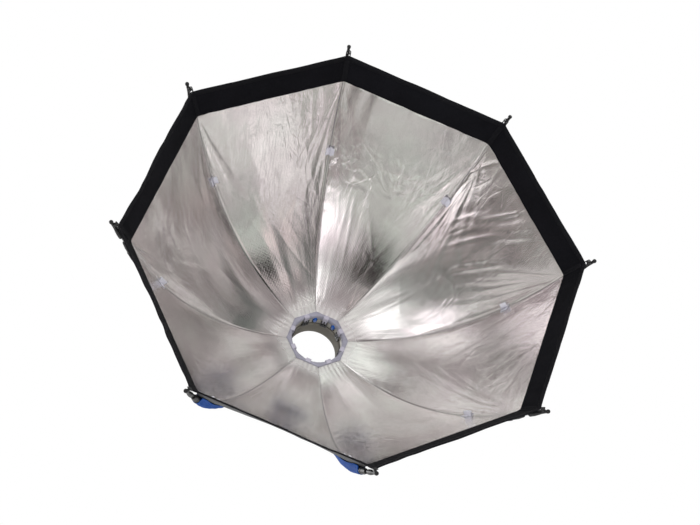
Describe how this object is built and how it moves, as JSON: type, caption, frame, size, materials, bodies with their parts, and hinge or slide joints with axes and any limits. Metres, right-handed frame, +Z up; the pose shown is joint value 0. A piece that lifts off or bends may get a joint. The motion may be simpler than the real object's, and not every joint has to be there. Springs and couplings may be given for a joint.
{
  "type": "studio softbox",
  "caption": "Octagonal collapsible studio softbox with a silver reflector, black front lip, bowed rods in sleeves, and a rotating speed ring on a clamp collar.",
  "frame": {"origin": "centre of the clamp collar's rear face, on the lamp axis", "axes": "+Y along the lamp axis to the rear, towards the flash head, so the open front faces -Y; +Z up through the top corner; +X to the right as seen from the front"},
  "size_m": [0.9364, 0.4518, 0.9364],
  "materials": {
    "reflector_cloth": "metallised silver ripstop inside, dark grey coated cloth outside",
    "lip_cloth": "matte black woven cloth",
    "collar_cloth": "lavender-grey brushed cloth",
    "sleeve_cloth": "matte black woven cloth",
    "blue_cloth": "saturated blue woven cloth",
    "ring_plastic": "satin beige-grey moulding",
    "black_plastic": "fine-grained black moulding",
    "blue_plastic": "glossy blue moulding",
    "grey_rubber": "matte grey rubber",
    "spring_steel": "bright drawn rod",
    "zinc_steel": "zinc plated"
  },
  "bodies": {
    "mount": {"mount_collar": "black_plastic", "rubber_lining": "grey_rubber", "clamp_band": "zinc_steel", "draw_bolt": "zinc_steel", "clamp_nut": "zinc_steel", "lever_pin": "zinc_steel"},
    "clamp_lever": {"clamp_lever": "black_plastic"},
    "softbox": {"panel_1": "reflector_cloth", "panel_2": "reflector_cloth", "panel_3": "reflector_cloth", "panel_4": "reflector_cloth", "panel_5": "reflector_cloth", "panel_6": "reflector_cloth", "panel_7": "reflector_cloth", "panel_8": "reflector_cloth", "front_lip": "lip_cloth", "back_collar": "collar_cloth", "speed_ring": "ring_plastic", "tab_hook_ring": "black_plastic", "retaining_ring": "black_plastic", "rod_right": "spring_steel", "rod_upper_right": "spring_steel", "rod_top": "spring_steel", "rod_upper_left": "spring_steel", "rod_left": "spring_steel", "rod_lower_left": "spring_steel", "rod_bottom": "spring_steel", "rod_lower_right": "spring_steel", "rod_sleeve_right": "sleeve_cloth", "rod_sleeve_upper_right": "blue_cloth", "rod_sleeve_top": "blue_cloth", "rod_sleeve_upper_left": "sleeve_cloth", "rod_sleeve_left": "sleeve_cloth", "rod_sleeve_lower_left": "blue_cloth", "rod_sleeve_bottom": "blue_cloth", "rod_sleeve_lower_right": "sleeve_cloth", "sleeve_anchor_right": "black_plastic", "sleeve_anchor_upper_right": "black_plastic", "sleeve_anchor_top": "black_plastic", "sleeve_anchor_upper_left": "black_plastic", "sleeve_anchor_left": "black_plastic", "sleeve_anchor_lower_left": "black_plastic", "sleeve_anchor_bottom": "black_plastic", "sleeve_anchor_lower_right": "black_plastic", "socket_insert_upper_right": "blue_plastic", "socket_insert_top": "blue_plastic", "socket_insert_lower_left": "blue_plastic", "socket_insert_bottom": "blue_plastic"},
    "tip_right": {"rod_tip_right": "black_plastic"},
    "tip_upper_right": {"rod_tip_upper_right": "black_plastic"},
    "tip_top": {"rod_tip_top": "black_plastic"},
    "tip_upper_left": {"rod_tip_upper_left": "black_plastic"},
    "tip_left": {"rod_tip_left": "black_plastic"},
    "tip_lower_left": {"rod_tip_lower_left": "black_plastic"},
    "tip_bottom": {"rod_tip_bottom": "black_plastic"},
    "tip_lower_right": {"rod_tip_lower_right": "black_plastic"}
  },
  "joints": [
    {"name": "ring_rotation", "type": "hinge", "parent": "mount", "child": "softbox", "pos_m": [0, 0, 0], "axis": [0, 1, 0], "continuous": true},
    {"name": "clamp_lever_swing", "type": "hinge", "parent": "mount", "child": "clamp_lever", "pos_m": [0.0145, -0.01, 0.066], "axis": [0, -1, 0], "range_deg": [0, 110]},
    {"name": "tip_pull_right", "type": "slide", "parent": "softbox", "child": "tip_right", "axis": [0.431, -0.9024, 0], "range_m": [0, 0.012], "stiffness_N_per_m": 500},
    {"name": "tip_pull_upper_right", "type": "slide", "parent": "softbox", "child": "tip_upper_right", "axis": [0.3048, -0.9024, 0.3048], "range_m": [0, 0.012], "stiffness_N_per_m": 500},
    {"name": "tip_pull_top", "type": "slide", "parent": "softbox", "child": "tip_top", "axis": [0, -0.9024, 0.431], "range_m": [0, 0.012], "stiffness_N_per_m": 500},
    {"name": "tip_pull_upper_left", "type": "slide", "parent": "softbox", "child": "tip_upper_left", "axis": [-0.3048, -0.9024, 0.3048], "range_m": [0, 0.012], "stiffness_N_per_m": 500},
    {"name": "tip_pull_left", "type": "slide", "parent": "softbox", "child": "tip_left", "axis": [-0.431, -0.9024, 0], "range_m": [0, 0.012], "stiffness_N_per_m": 500},
    {"name": "tip_pull_lower_left", "type": "slide", "parent": "softbox", "child": "tip_lower_left", "axis": [-0.3048, -0.9024, -0.3048], "range_m": [0, 0.012], "stiffness_N_per_m": 500},
    {"name": "tip_pull_bottom", "type": "slide", "parent": "softbox", "child": "tip_bottom", "axis": [0, -0.9024, -0.431], "range_m": [0, 0.012], "stiffness_N_per_m": 500},
    {"name": "tip_pull_lower_right", "type": "slide", "parent": "softbox", "child": "tip_lower_right", "axis": [0.3048, -0.9024, -0.3048], "range_m": [0, 0.012], "stiffness_N_per_m": 500}
  ]
}
